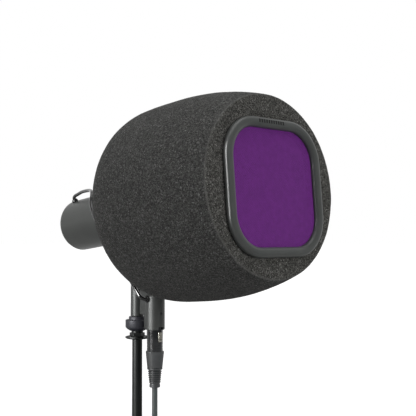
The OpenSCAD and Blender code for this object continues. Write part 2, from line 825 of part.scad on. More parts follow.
module plug_insert() {
    color([0.07, 0.07, 0.07]) difference() {
        at_plug() rod(shell_bore - 0.03, insert_low, plug_insert_top);
        at_pins() rod(contact_r + 0.03, contact_low - fine, plug_insert_top + cut);
        at_plug() translate([0, -shell_plug_r, latch_z + latch_h / 2])
            cube([latch_w + 0.6, 6, latch_h + 1], center = true);
    }
}

module plug_contacts() {
    color([0.8, 0.7, 0.4]) at_pins() difference() {
        rod(contact_r, contact_low, plug_insert_top - 0.5);
        rod(pin_r + 0.05, pin_low - 1, plug_insert_top + cut);
    }
}

module plug_chuck() {
    color([0.25, 0.25, 0.25]) at_plug() difference() {
        union() {
            rod(shell_bore - 0.05, boot_top - 1, insert_low - fine);
            translate([0, 0, chuck_low]) cylinder(r1 = 4.6, r2 = shell_bore - 0.05,
                h = boot_top - 1 - chuck_low);
        }
        rod(cable_r + 0.03, chuck_low - cut, insert_low + cut);
        for (turn = [0, 90]) rotate([0, 0, turn])
            translate([0, 0, chuck_low]) cube([2 * boot_r, 0.8, 14], center = true);
    }
}

module plug_boot() {
    lean = (rib_r - rib_end_r) / (ribs - 1);
    core_r = rib_end_r - rib_depth;
    color([0.31, 0.315, 0.32]) at_plug() {
        difference() {
            turned([[cable_r + fine, boot_end], [boot_tip_r - 0.5, boot_end],
                [boot_tip_r, boot_end + 0.5], [boot_tip_r, boot_end + 2.6],
                [boot_tip_r - 0.4, boot_end + 3], [core_r, boot_end + 3.1],
                [rib_r - rib_depth, boot_ring_z - 0.8], [boot_ring_r - 0.4, boot_ring_z - 0.7],
                [boot_ring_r, boot_ring_z - 0.3], [boot_ring_r, boot_waist_z],
                [boot_r, boot_top - 0.5], [boot_r - 0.4, boot_top], [shell_bore, boot_top],
                [shell_bore, boot_top - 1.5], [4.9, chuck_low - 1], [cable_r + fine, chuck_low - 1]]);
            pipe(2 * boot_r, boot_ring_r - 0.6, boot_waist_z - 0.5, boot_waist_z);
        }
        for (i = [0 : ribs - 1])
            boot_rib(rib_top - rib_pitch * i, rib_r - lean * i);
    }
}

// One rounded rib of the boot, r wide at the height z
module boot_rib(z, r) {
    root = r - rib_depth - 0.2;
    turned([[root, z - 0.6], [r - 0.3, z - 0.55], [r, z - 0.25], [r, z + 0.25],
        [r - 0.3, z + 0.55], [root, z + 0.6]]);
}

module plug_cable() color([0.33, 0.36, 0.37]) at_plug() rod(cable_r, 0, insert_low - 2);

foam_shell();
filter_bezel();
front_mesh();
mesh_spacer();
rear_mesh();
mesh_retainer();
retainer_screws();
mic_barrel();
front_ring();
mic_grille();
grille_foam();
capsule();
capsule_isolators();
rear_cap();
rear_cap_screws();
switch_plate();
switch_board();
low_cut_switch();
presence_switch();
barrel_grommet();
mic_lead();
yoke_grommet();
yoke_strap();
yoke_screw();
yoke_block();
friction_washers();
left_knob();
right_knob();
connector_insert();
connector_pins();
insert_screw();
lock_collar();
thread_adapter();
jam_nut();
dished_washer();
stand_rod();
plug_shell();
plug_latch();
plug_insert();
plug_contacts();
plug_chuck();
plug_boot();
plug_cable();
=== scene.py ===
"""Looks of a microphone isolation shield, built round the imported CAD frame. Units are metres."""

import json
import math
from types import SimpleNamespace

import bpy
import numpy as np
from mathutils import Matrix, Vector


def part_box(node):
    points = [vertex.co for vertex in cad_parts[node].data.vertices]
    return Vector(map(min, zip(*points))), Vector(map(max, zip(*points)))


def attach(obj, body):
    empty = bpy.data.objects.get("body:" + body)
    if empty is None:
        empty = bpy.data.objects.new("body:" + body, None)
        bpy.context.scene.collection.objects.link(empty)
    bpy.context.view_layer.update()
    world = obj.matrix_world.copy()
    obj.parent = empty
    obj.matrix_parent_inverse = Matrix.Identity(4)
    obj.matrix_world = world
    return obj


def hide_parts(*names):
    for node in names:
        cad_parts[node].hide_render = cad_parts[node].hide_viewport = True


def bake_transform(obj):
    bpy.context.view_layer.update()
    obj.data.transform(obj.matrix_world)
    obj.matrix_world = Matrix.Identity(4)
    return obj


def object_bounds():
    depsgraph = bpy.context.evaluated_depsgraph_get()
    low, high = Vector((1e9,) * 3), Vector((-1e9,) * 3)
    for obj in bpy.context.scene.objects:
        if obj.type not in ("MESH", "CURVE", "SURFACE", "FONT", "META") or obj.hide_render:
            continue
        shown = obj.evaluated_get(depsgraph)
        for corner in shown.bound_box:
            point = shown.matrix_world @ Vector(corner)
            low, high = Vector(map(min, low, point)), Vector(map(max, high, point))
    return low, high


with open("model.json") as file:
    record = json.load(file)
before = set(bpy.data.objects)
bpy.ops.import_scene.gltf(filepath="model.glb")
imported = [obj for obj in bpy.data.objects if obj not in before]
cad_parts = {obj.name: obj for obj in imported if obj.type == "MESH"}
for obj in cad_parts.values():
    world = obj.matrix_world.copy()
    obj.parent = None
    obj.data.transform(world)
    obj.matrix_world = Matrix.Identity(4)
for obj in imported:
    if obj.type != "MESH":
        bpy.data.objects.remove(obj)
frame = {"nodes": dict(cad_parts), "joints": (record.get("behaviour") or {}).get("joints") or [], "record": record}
cad_low, cad_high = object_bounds()

MM = 0.001
NEAR = 0.01 * MM  # measures this close count as the same
WELD = 0.001 * MM  # points this close become one
JOINTS = {joint["name"]: joint for joint in frame["joints"]}
PIVOT = Vector(JOINTS["mic_tilt"]["pos_m"])
MIC_AXIS = Vector(JOINTS["shield_pull"]["axis"])
SHIELD_AXIS = Vector(JOINTS["filter_pull"]["axis"])


# ---------------------------------------------------------------- frames and CAD sizes


def axis_frame(origin, forward):
    """A frame whose +z is forward and whose +x is the object's X, so +y points up."""
    z = forward.normalized()
    x = Vector((1, 0, 0))
    y = z.cross(x)
    return Matrix((
        (x.x, y.x, z.x, origin.x),
        (x.y, y.y, z.y, origin.y),
        (x.z, y.z, z.z, origin.z),
        (0, 0, 0, 1),
    ))


def node_middle(node):
    """The middle of a CAD node's box."""
    low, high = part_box(node)
    return (low + high) / 2


def filter_origin():
    """The point of the pop filter's axis above the yoke's post."""
    middle = node_middle("front_mesh")
    return middle - SHIELD_AXIS * (middle.y / SHIELD_AXIS.y)


def local_points(node, placing):
    """A CAD node's vertices in a local frame, as an array."""
    mesh = frame["nodes"][node].data
    points = np.zeros(len(mesh.vertices) * 3)
    mesh.vertices.foreach_get("co", points)
    inverse = np.array(placing.inverted())
    return points.reshape(-1, 3) @ inverse[:3, :3].T + inverse[:3, 3]


def shell_rise():
    """Height of the foam shell's axis above the pop filter's, from the shell's front face."""
    points = local_points("foam_shell", FILTER)
    face = points[points[:, 2] > points[:, 2].max() - NEAR]
    return (face[:, 1].max() + face[:, 1].min()) / 2


MIC = axis_frame(PIVOT, MIC_AXIS)
FILTER = axis_frame(filter_origin(), SHIELD_AXIS)
FILTER_DROP = shell_rise()
SHIELD = FILTER @ Matrix.Translation((0, FILTER_DROP, 0))


# ---------------------------------------------------------------- node graphs


class Finish:
    """A material's node graph, with one call for each kind of node that recurs."""

    def __init__(self, name):
        self.material = bpy.data.materials.new(name)
        self.material.use_nodes = True
        self.tree = self.material.node_tree
        self.tree.nodes.clear()
        output = self.tree.nodes.new("ShaderNodeOutputMaterial")
        self.shader = self.tree.nodes.new("ShaderNodeBsdfPrincipled")
        self.tree.links.new(self.shader.outputs["BSDF"], output.inputs["Surface"])
        self.place = self.tree.nodes.new("ShaderNodeTexCoord").outputs["Object"]

    def feed(self, value, socket):
        """Links a socket, or stores a plain value."""
        if isinstance(value, bpy.types.NodeSocket):
            self.tree.links.new(value, socket)
        elif isinstance(value, (tuple, list)) and len(value) == 3 and len(socket.default_value) == 4:
            socket.default_value = (*value, 1)
        else:
            socket.default_value = value

    def look(self, **values):
        """Sets inputs of the Principled shader; Base_Color means Base Color."""
        for name, value in values.items():
            self.feed(value, self.shader.inputs[name.replace("_", " ")])
        return self

    def stretched(self, scale):
        """The surface's own place, scaled along each axis."""
        node = self.tree.nodes.new("ShaderNodeMapping")
        self.feed(self.place, node.inputs["Vector"])
        node.inputs["Scale"].default_value = scale
        return node.outputs["Vector"]

    def noise(self, size, detail=2.0, roughness=0.5, place=None):
        """Smooth noise whose features are about size metres across."""
        node = self.tree.nodes.new("ShaderNodeTexNoise")
        self.feed(place or self.place, node.inputs["Vector"])
        node.inputs["Scale"].default_value = 1 / size
        node.inputs["Detail"].default_value = detail
        node.inputs["Roughness"].default_value = roughness
        return node.outputs["Fac"]

    def cells(self, size, feature="F1", output="Distance"):
        """A cell pattern whose cells are about size metres across."""
        node = self.tree.nodes.new("ShaderNodeTexVoronoi")
        node.feature = feature
        self.feed(self.place, node.inputs["Vector"])
        node.inputs["Scale"].default_value = 1 / size
        return node.outputs[output]

    def ramp(self, value, *stops):
        """Colour ramp; each stop is (place, grey or colour)."""
        node = self.tree.nodes.new("ShaderNodeValToRGB")
        self.feed(value, node.inputs["Fac"])
        elements = node.color_ramp.elements
        while len(elements) < len(stops):
            elements.new(0.5)
        for element, (place, colour) in zip(elements, stops):
            element.position = place
            tone = colour if isinstance(colour, tuple) else (colour,) * 3
            element.color = (*tone, 1)
        return node.outputs["Color"]

    def math(self, operation, a, b=0.0):
        node = self.tree.nodes.new("ShaderNodeMath")
        node.operation = operation
        self.feed(a, node.inputs[0])
        self.feed(b, node.inputs[1])
        return node.outputs["Value"]

    def mix(self, share, a, b, blend="MIX"):
        """Mix of two colours, whose sockets are numbers 6, 7 and 2 of the node."""
        node = self.tree.nodes.new("ShaderNodeMix")
        node.data_type = "RGBA"
        node.blend_type = blend
        self.feed(share, node.inputs[0])
        self.feed(a, node.inputs[6])
        self.feed(b, node.inputs[7])
        return node.outputs[2]

    def bump(self, height, depth, strength, normal=None):
        """Bump whose height input of 1 stands depth metres proud."""
        node = self.tree.nodes.new("ShaderNodeBump")
        node.inputs["Strength"].default_value = strength
        node.inputs["Distance"].default_value = depth
        self.feed(height, node.inputs["Height"])
        if normal is not None:
            self.feed(normal, node.inputs["Normal"])
        self.feed(node.outputs["Normal"], self.shader.inputs["Normal"])

    def stored(self, name):
        """A value stored on the mesh's points."""
        node = self.tree.nodes.new("ShaderNodeAttribute")
        node.attribute_name = name
        return node.outputs["Fac"]

    def occlusion_shade(self, reach):
        """Painted shade: how open a spot is to its surroundings, dark inside grooves."""
        node = self.tree.nodes.new("ShaderNodeAmbientOcclusion")
        node.inputs["Distance"].default_value = reach
        return node.outputs["AO"]

    def soft_edges(self, radius):
        """Rounds hard edges in shading, for the CAD nodes' sharp corners."""
        node = self.tree.nodes.new("ShaderNodeBevel")
        node.samples = 4
        node.inputs["Radius"].default_value = radius
        self.feed(node.outputs["Normal"], self.shader.inputs["Normal"])
        return node.outputs["Normal"]


# ---------------------------------------------------------------- materials


FOAM_TONE = (0.0595, 0.0595, 0.0570)
# the front face's colour, painted lighter than the sides as painted light
FOAM_LIT_FRONT = (0.0790, 0.0780, 0.0725)
# colour of the painted highlight along the foam's crease
FOAM_CREASE_HIGHLIGHT = (0.135, 0.134, 0.128)
SCREEN_TONE = (0.014, 0.014, 0.014)
FOAM_CELL = 1.0 * MM
FINE_CELL = 0.6 * MM
CELL_DEPTH = 0.45 * MM
# how strongly the crease takes its painted highlight
CREASE_HIGHLIGHT_SHARE = 0.65


def foam_finish(name, tone, front, crease_highlight):
    """Open-cell foam: each cut cell catches the light its own way, painted as its own tone. The pores carry
    painted shade, the front face is painted lighter as painted light, and the crease carries a painted highlight.
    """
    f = Finish(name)
    pores = f.cells(FOAM_CELL)
    fine_pores = f.cells(FINE_CELL)
    cell_tone = f.ramp(f.cells(FOAM_CELL, output="Color"), (0.15, 0.40), (0.5, 0.90),
                       (0.8, 1.4), (0.96, 2.7))
    small_tone = f.ramp(f.cells(FINE_CELL, output="Color"), (0.2, 0.35), (0.8, 1.8))
    blotch = f.ramp(f.noise(12 * MM, detail=2), (0.35, 0.94), (0.65, 1.06))
    # the front face takes the lighter colour: painted light
    base = f.mix(f.stored("front"), tone, front)
    toned = f.mix(1.0, f.mix(1.0, base, cell_tone, "MULTIPLY"), small_tone, "MULTIPLY")
    # painted shade: the pore centres are darkened to a fifth of the tone
    cut = f.mix(f.ramp(pores, (0.10, 0.5), (0.34, 0.0)),
                f.mix(1.0, toned, blotch, "MULTIPLY"), tuple(0.2 * c for c in tone))
    # painted highlight along the crease
    highlight_share = f.math("MULTIPLY", f.stored("crease_highlight"), CREASE_HIGHLIGHT_SHARE)
    height = f.math("ADD", f.math("MULTIPLY", pores, 0.7), f.math("MULTIPLY", fine_pores, 0.4))
    f.bump(height, CELL_DEPTH, 0.9)
    return f.look(Base_Color=f.mix(highlight_share, cut, crease_highlight), Roughness=0.95,
                  Specular_IOR_Level=0.12, Sheen_Weight=0.06, Sheen_Roughness=0.6,
                  Sheen_Tint=(0.8, 0.8, 0.78)).material


def moulded_plastic(name, colour, roughness):
    """Satin moulded plastic with a spark-eroded texture."""
    f = Finish(name)
    spark = f.noise(0.45 * MM, detail=3, roughness=0.6)
    patch = f.noise(22 * MM, detail=2)
    tone = f.mix(f.ramp(patch, (0.35, 0.0), (0.65, 1.0)), tuple(0.93 * c for c in colour),
                 tuple(1.06 * c for c in colour))
    rough = f.ramp(spark, (0.3, roughness - 0.05), (0.7, roughness + 0.07))
    soft = f.soft_edges(0.25 * MM)
    f.bump(spark, 0.02 * MM, 0.7, soft)
    return f.look(Base_Color=tone, Roughness=rough, Specular_IOR_Level=0.45).material


def painted_metal(name, colour, roughness, metallic=0.35):
    """Satin enamel over metal, with a fine orange peel."""
    f = Finish(name)
    peel = f.noise(0.8 * MM, detail=2)
    dust = f.noise(0.25 * MM, detail=1)
    patch = f.noise(18 * MM, detail=3)
    tone = f.mix(f.ramp(patch, (0.3, 0.0), (0.7, 1.0)), tuple(0.94 * c for c in colour),
                 tuple(1.05 * c for c in colour))
    rough = f.ramp(dust, (0.3, roughness - 0.05), (0.7, roughness + 0.06))
    soft = f.soft_edges(0.3 * MM)
    f.bump(peel, 0.012 * MM, 0.6, soft)
    return f.look(Base_Color=tone, Roughness=rough, Metallic=metallic,
                  Specular_IOR_Level=0.4).material


def rubber(name, colour, roughness):
    """Matt rubber with a slow bloom, with painted shade inside its grooves."""
    f = Finish(name)
    matt = f.noise(0.5 * MM, detail=3)
    bloom = f.noise(9 * MM, detail=2)
    tone = f.mix(f.ramp(bloom, (0.35, 0.0), (0.7, 1.0)), tuple(0.9 * c for c in colour),
                 tuple(1.12 * c for c in colour))
    # painted shade inside the grooves
    tone = f.mix(1.0, tone, f.ramp(f.occlusion_shade(2.2 * MM), (0.45, 0.18), (0.92, 1.0)), "MULTIPLY")
    soft = f.soft_edges(0.3 * MM)
    f.bump(matt, 0.015 * MM, 0.6, soft)
    return f.look(Base_Color=tone, Roughness=roughness, Specular_IOR_Level=0.4).material


def glossy_jacket(name, colour, roughness):
    """A clear glossy skin with faint ripples, as on extruded vinyl or lacquered metal."""
    f = Finish(name)
    ripple = f.noise(1.6 * MM, detail=1)
    f.bump(ripple, 0.03 * MM, 0.5)
    rough = f.ramp(f.noise(4 * MM), (0.35, roughness), (0.7, roughness + 0.1))
    return f.look(Base_Color=colour, Roughness=rough, Coat_Weight=1.0,
                  Coat_Roughness=0.05).material


def bare_metal(name, colour, roughness):
    """Turned or plated metal with fine tool marks."""
    f = Finish(name)
    marks = f.noise(0.35 * MM, detail=2, place=f.stretched((0.12, 0.12, 1.0)))
    rough = f.ramp(marks, (0.3, roughness - 0.06), (0.7, roughness + 0.08))
    soft = f.soft_edges(0.15 * MM)
    f.bump(marks, 0.004 * MM, 0.5, soft)
    return f.look(Base_Color=colour, Roughness=rough, Metallic=1.0).material


def thread_finish(name, colour):
    """Purple polyester yarn of the pop filter's cloth."""
    f = Finish(name)
    fibre = f.noise(0.12 * MM, detail=2)
    tone = f.mix(f.ramp(fibre, (0.35, 0.0), (0.65, 1.0)), tuple(0.8 * c for c in colour),
                 tuple(1.2 * c for c in colour))
    uneven = f.ramp(f.noise(5 * MM, detail=3), (0.35, 0.93), (0.65, 1.07))
    tone = f.mix(1.0, tone, uneven, "MULTIPLY")
    return f.look(Base_Color=tone, Roughness=0.6, Specular_IOR_Level=0.25,
                  Sheen_Weight=0.25, Sheen_Roughness=0.4).material


def board_finish():
    """Green circuit board with darker fields between its traces."""
    f = Finish("board_green")
    traces = f.cells(2.5 * MM, feature="DISTANCE_TO_EDGE")
    tone = f.ramp(traces, (0.05, (0.03, 0.16, 0.07)), (0.12, (0.008, 0.05, 0.024)))
    return f.look(Base_Color=tone, Roughness=0.3, Coat_Weight=0.4).material


def floor_finish():
    """Pale studio floor. Its glow fades it into white for the camera. Reflections see the glow
    only beyond the object."""
    f = Finish("studio_floor")
    cloud = f.noise(0.4, detail=2)
    tone = f.ramp(cloud, (0.3, 0.44), (0.7, 0.47))
    distance = f.tree.nodes.new("ShaderNodeVectorMath")
    distance.operation = "LENGTH"
    f.feed(f.place, distance.inputs[0])
    fade = f.ramp(f.math("MULTIPLY", distance.outputs["Value"], 0.5), (0.08, 0.93), (0.3, 1.02))
    path = f.tree.nodes.new("ShaderNodeLightPath")
    far_side = behind(f.tree, f.place, (0.0, 0.6), (0.08, 0.75))
    mirrored = f.math("MULTIPLY", path.outputs["Is Glossy Ray"], far_side)
    glow = f.math("ADD", f.math("MULTIPLY", path.outputs["Is Camera Ray"], fade), mirrored)
    return f.look(Base_Color=tone, Roughness=0.9, Specular_IOR_Level=0.1,
                  Emission_Color=(1, 1, 1), Emission_Strength=glow).material


MATERIALS = {
    "acoustic_foam": foam_finish("acoustic_foam", FOAM_TONE, FOAM_LIT_FRONT, FOAM_CREASE_HIGHLIGHT),
    "bezel_plastic": moulded_plastic("bezel_plastic", (0.074, 0.079, 0.076), 0.33),
    "purple_mesh": thread_finish("purple_mesh", (0.168, 0.027, 0.243)),
    "black_plastic": moulded_plastic("black_plastic", (0.02, 0.02, 0.02), 0.5),
    "screw_steel": bare_metal("screw_steel", (0.10, 0.10, 0.105), 0.35),
    "barrel_paint": painted_metal("barrel_paint", (0.085, 0.09, 0.085), 0.40, metallic=0.2),
    "grille_steel": painted_metal("grille_steel", (0.02, 0.02, 0.02), 0.5),
    "windscreen_foam": foam_finish("windscreen_foam", SCREEN_TONE, SCREEN_TONE, SCREEN_TONE),
    "capsule_metal": bare_metal("capsule_metal", (0.35, 0.35, 0.32), 0.35),
    "rubber_black": rubber("rubber_black", (0.013, 0.013, 0.013), 0.4),
    "switch_metal": bare_metal("switch_metal", (0.3, 0.3, 0.3), 0.4),
    "board_green": board_finish(),
    "strap_paint": painted_metal("strap_paint", (0.07, 0.075, 0.072), 0.42),
    "casting_paint": painted_metal("casting_paint", (0.074, 0.078, 0.075), 0.42, metallic=0.2),
    "washer_nylon": moulded_plastic("washer_nylon", (0.6, 0.6, 0.55), 0.45),
    "contact_silver": bare_metal("contact_silver", (0.75, 0.7, 0.55), 0.2),
    "collar_dark": painted_metal("collar_dark", (0.050, 0.051, 0.066), 0.50, metallic=0.1),
    "stand_black": painted_metal("stand_black", (0.017, 0.019, 0.018), 0.36),
    "plug_chrome": glossy_jacket("plug_chrome", (0.006, 0.008, 0.009), 0.14),
    "latch_silver": bare_metal("latch_silver", (0.82, 0.8, 0.7), 0.14),
    "boot_rubber": rubber("boot_rubber", (0.094, 0.099, 0.102), 0.42),
    "cable_jacket": rubber("cable_jacket", (0.110, 0.128, 0.127), 0.36),
    "lead_jacket": glossy_jacket("lead_jacket", (0.012, 0.012, 0.012), 0.14),
    "mark_dark": moulded_plastic("mark_dark", (0.010, 0.010, 0.010), 0.6),
}


# ---------------------------------------------------------------- mesh building


def new_piece(name, points, faces, material, placing, body=None):
    """A smooth-shaded mesh object from points in the local frame called placing."""
    mesh = bpy.data.meshes.new(name)
    mesh.from_pydata([tuple(p) for p in points], [], [tuple(f) for f in faces])
    mesh.transform(placing)
    mesh.materials.append(MATERIALS[material])
    mesh.polygons.foreach_set("use_smooth", [True] * len(mesh.polygons))
    piece = bpy.data.objects.new(name, mesh)
    bpy.context.scene.collection.objects.link(piece)
    if body:
        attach(piece, body)
    return piece


def grid_faces(rows, columns, close_rows=False):
    """Quads of closed rings of points, stored ring by ring."""
    faces = []
    for row in range(rows if close_rows else rows - 1):
        for column in range(columns):
            ahead = (column + 1) % columns
            above = (row + 1) % rows
            faces.append((row * columns + column, row * columns + ahead,
                          above * columns + ahead, above * columns + column))
    return faces


def square_reach(angles, half, corner):
    """Distance from the centre to a rounded square's outline in each direction."""
    c, s = np.abs(np.cos(angles)), np.abs(np.sin(angles))
    centre = half - corner
    flat = half / np.maximum(c, s)
    along = centre * (c + s)
    inside = np.maximum(along ** 2 - 2 * centre ** 2 + corner ** 2, 0)
    arc = along + np.sqrt(inside)
    beyond = (flat * np.minimum(c, s)) > centre
    return np.where(beyond, arc, flat)


def arc_points(start, corner, end, steps):
    """Points of a rounded corner, from start to end."""
    shares = np.linspace(0, 1, steps)
    a, b, c = (np.array(p, float) for p in (start, corner, end))
    return [(1 - t) ** 2 * a + 2 * t * (1 - t) * b + t * t * c for t in shares]


def ring_points(rows, turns):
    """Points of rings given as (radius, z, height of the centre)."""
    return np.concatenate([
        np.stack([radius * np.cos(turns), radius * np.sin(turns) + height,
                  np.full(len(turns), z)], 1)
        for radius, z, height in rows])


# ---------------------------------------------------------------- foam shell


FOAM_COLUMNS = 480
SCREEN_COLUMNS = 160
FOAM_STEP = 1.25 * MM
# powers of the outline's curves: radius and depth behind the widest ring, radius before it
REAR_POWER_R = 2.5
REAR_POWER_Z = 0.38
FRONT_POWER = 2.08
FOAM_SAG = 1.0 * MM  # how far the skin hangs lower behind its front
CREASE_TRIM = 0.72 * MM
# width of the painted highlight along the crease
CREASE_HIGHLIGHT_WIDTH = 0.9 * MM
RIM_ROUND = 3.0 * MM
EASE_REACH = 14 * MM  # the centre of the rings moves over this much of their radius
POCKET_ROUND = 1.6 * MM
POCKET_CORNER = 33.15 * MM
POCKET_PLAY = 0.15 * MM
POCKET_SPARE = 2 * MM


def foam_outline():
    """Outer outline as (radius, z) points from the rear rim to the crease."""
    points = local_points("foam_shell", SHIELD)
    radius = np.hypot(points[:, 0], points[:, 1])
    z = points[:, 2]
    widest = int(radius.argmax())
    shell_r, mid, front, rear = radius[widest], z[widest], z.max(), z.min()
    crease_r = radius[z > front - NEAR].max()
    rim_r = radius[z < rear + NEAR].max()
    rim_turn = math.acos((rim_r / shell_r) ** (1 / REAR_POWER_R))
    depth = (mid - rear) / math.sin(rim_turn) ** REAR_POWER_Z
    turns = np.linspace(rim_turn, 0, 400)
    back = np.stack([shell_r * np.cos(turns) ** REAR_POWER_R,
                     mid - depth * np.sin(turns) ** REAR_POWER_Z], 1)
    shares = np.linspace(0, 1, 300)[1:]
    taper = np.stack([shell_r - (shell_r - crease_r) * shares ** FRONT_POWER,
                      mid + (front - mid) * shares], 1)
    return np.concatenate([back, taper])


def even_spacing(line, step):
    """The same line with its points about step apart."""
    lengths = np.concatenate([[0], np.cumsum(np.linalg.norm(np.diff(line, axis=0), axis=1))])
    places = np.linspace(0, lengths[-1], int(lengths[-1] / step) + 1)
    return np.stack([np.interp(places, lengths, line[:, k]) for k in range(2)], 1)


def foam_sizes():
    """The foam's measures, read off the CAD. Each z is along the shell's axis."""
    outline = foam_outline()
    rear_z, front_z = outline[0, 1], outline[-1, 1]
    bore_r = np.hypot(*local_points("foam_shell", MIC)[:, :2].T).min()
    skirt = local_points("filter_bezel", FILTER)
    wall = skirt[np.abs(skirt[:, 2] - skirt[:, 2].min()) < NEAR]
    pocket_half = np.abs(wall[:, 0]).max() + POCKET_PLAY
    hollow = local_points("foam_shell", FILTER)
    reach = np.hypot(hollow[:, 0], hollow[:, 1])
    # the chamber's points lie between the bore and the pocket's wall, clear of the rear
    chamber = hollow[(reach > bore_r + 6 * MM) & (reach < pocket_half - 4 * MM)
                     & (hollow[:, 2] > rear_z + (front_z - rear_z) / 4)]
    return SimpleNamespace(
        outline=outline, rear_z=rear_z, front_z=front_z, bore_r=bore_r, pocket_half=pocket_half,
        pocket_floor=skirt[:, 2].min() - POCKET_SPARE,
        chamber_r=np.hypot(chamber[:, 0], chamber[:, 1]).max(), chamber_z=chamber[:, 2].min())


def bore_height(z):
    """Height of the bore's axis above the shell's own axis."""
    bore = SHIELD.inverted() @ MIC
    start, way = bore.translation, bore.col[2]
    return start.y + way.y / way.z * (z - start.z)


def bore_rows(size):
    """Rings from the air chamber back to the rounded rear rim."""
    rim_z = size.rear_z + RIM_ROUND
    rim = arc_points((size.bore_r, rim_z), (size.bore_r, size.rear_z),
                     (size.bore_r + RIM_ROUND, size.rear_z + 0.2 * MM), 7)[1:]
    line = [(size.bore_r, z) for z in np.linspace(size.chamber_z, rim_z, 26)] + rim
    return [(r, z, bore_height(z)) for r, z in line]


def skin_rows(size):
    """Rings of the outer skin. Their centre moves from the bore's axis to the shell's own."""
    outline = size.outline
    widest_z = outline[int(outline[:, 0].argmax()), 1]
    skin = even_spacing(outline[outline[:, 0] > size.bore_r + 1.3 * RIM_ROUND], FOAM_STEP)
    rows = []
    for r, z in skin[skin[:, 1] < size.front_z - CREASE_TRIM]:
        ease = min(max((r - size.bore_r) / EASE_REACH - 0.2, 0), 1)
        ease = ease * ease * (3 - 2 * ease)
        sag = FOAM_SAG * min((size.front_z - z) / (size.front_z - widest_z), 1)
        rows.append((r, z, bore_height(z) * (1 - ease) - sag * ease))
    return rows


def front_rows(size, skin_end, pocket):
    """Rings of the rounded crease, the flat front and the rounded lip of the pocket."""
    crease_r, front_z = size.outline[-1]
    face_r = crease_r - CREASE_TRIM
    crease = arc_points(skin_end, (crease_r, front_z), (face_r, front_z), 6)[1:]
    rows = [(r, z, 0) for r, z in crease]
    for share in np.linspace(0, 1, 23)[1:]:
        rows.append((face_r * (1 - share) + (pocket + POCKET_ROUND) * share, front_z,
                     -FILTER_DROP * share))
    for turn in np.linspace(0, math.pi / 2, 6)[1:]:
        rows.append((pocket + POCKET_ROUND * (1 - math.sin(turn)),
                     front_z - POCKET_ROUND * (1 - math.cos(turn)), -FILTER_DROP))
    return rows


def hollow_rows(size, pocket):
    """Rings of the pocket's wall and floor, the air chamber and the chamber's rear wall."""
    rows = []
    for z in np.linspace(size.front_z - POCKET_ROUND, size.pocket_floor, 12)[1:]:
        rows.append((pocket, z, -FILTER_DROP))
    for share in np.linspace(0, 1, 8)[1:]:
        rows.append((pocket * (1 - share) + size.chamber_r * share, size.pocket_floor,
                     -FILTER_DROP))
    for z in np.linspace(size.pocket_floor, size.chamber_z, 44)[1:]:
        rows.append((size.chamber_r, z, -FILTER_DROP))
    for share in np.linspace(0, 1, 12)[1:-1]:
        rows.append((size.chamber_r * (1 - share) + size.bore_r * share, size.chamber_z,
                     bore_height(size.chamber_z) * share - FILTER_DROP * (1 - share)))
    return rows


def foam_rows(angles):
    """All rings round the foam's section: (radius, z, height of the centre)."""
    size = foam_sizes()
    pocket = square_reach(angles, size.pocket_half, POCKET_CORNER)
    skin = skin_rows(size)
    front = front_rows(size, skin[-1][:2], pocket)
    return bore_rows(size) + skin + front + hollow_rows(size, pocket)


def texture(name, kind, size, **settings):
    """A procedural texture for a displacement, with features about size metres across."""
    made = bpy.data.textures.new(name, kind)
    made.noise_scale = size
    for key, value in settings.items():
        setattr(made, key, value)
    return made


def displace(piece, made, strength):
    """Moves a piece's skin in and out by up to half the strength."""
    change = piece.modifiers.new(made.name, "DISPLACE")
    change.texture = made
    change.texture_coords = "LOCAL"
    change.strength = strength
    change.mid_level = 0.5


def apply_modifiers(piece):
    """Bakes a piece's modifiers into its mesh."""
    graph = bpy.context.evaluated_depsgraph_get()
    mesh = bpy.data.meshes.new_from_object(piece.evaluated_get(graph))
    piece.modifiers.clear()
    old = piece.data
    piece.data = mesh
    bpy.data.meshes.remove(old)


def mark_front(foam, points):
    """Stores which points lie on the cut front, whose lighter colour is painted light, and how near each is to the
    crease, which carries a painted highlight.
    """
    crease_x, crease_z = foam_outline()[-1]
    reach = np.hypot(points[:, 0], points[:, 1])
    away = np.hypot(reach - crease_x, points[:, 2] - crease_z)
    marks = (("crease_highlight", np.exp(-(away / CREASE_HIGHLIGHT_WIDTH) ** 2)),
             ("front", (points[:, 2] > crease_z - 0.4 * MM).astype(float)))
    for name, values in marks:
        foam.data.attributes.new(name, "FLOAT", "POINT").data.foreach_set("value", values)


def build_foam():
    """The foam block: every ring in one closed skin, then its cells and a slow swell."""
    angles = np.linspace(0, 2 * math.pi, FOAM_COLUMNS, endpoint=False)
    rows = foam_rows(angles)
    points = ring_points(rows, angles)
    faces = grid_faces(len(rows), FOAM_COLUMNS, close_rows=True)
    foam = new_piece("foam_body", points, faces, "acoustic_foam", SHIELD)
    mark_front(foam, points)
    displace(foam, texture("foam_cells", "VORONOI", 1.7 * MM, distance_metric="DISTANCE"),
             0.16 * MM)
    displace(foam, texture("foam_swell", "CLOUDS", 16 * MM, noise_depth=2), 0.4 * MM)
    apply_modifiers(foam)
    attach(foam, "shield")
    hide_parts("foam_shell")


def screen_profile():
    """The cup's section, from the middle of its front round to the middle of its hollow."""
    points = local_points("grille_foam", MIC)
    radius, z = np.hypot(points[:, 0], points[:, 1]), points[:, 2]
    outer, back, front = radius.max(), z.min(), z.max()
    inner = radius[(z < back + NEAR) & (radius > outer / 2)].min()
    floor = z[radius < inner + NEAR]
    floor = floor[(floor > back + MM) & (floor < front - MM)].max()
    lip, bend = 0.8 * MM, 2.5 * MM
    profile = [(0, front)]
    profile += arc_points((outer - bend, front), (outer, front), (outer, front - bend), 8)
    profile += [(outer, level) for level in np.linspace(front - bend, back + lip, 40)[1:]]
    profile += arc_points((outer, back + lip), (outer, back), (outer - lip, back), 5)[1:]
    profile += arc_points((inner + lip, back), (inner, back), (inner, back + lip), 5)
    profile += [(inner, level) for level in np.linspace(back + lip, floor - lip, 30)[1:]]
    profile += arc_points((inner, floor - lip), (inner, floor), (inner - lip, floor), 5)[1:]
    return profile + [(0, floor)]


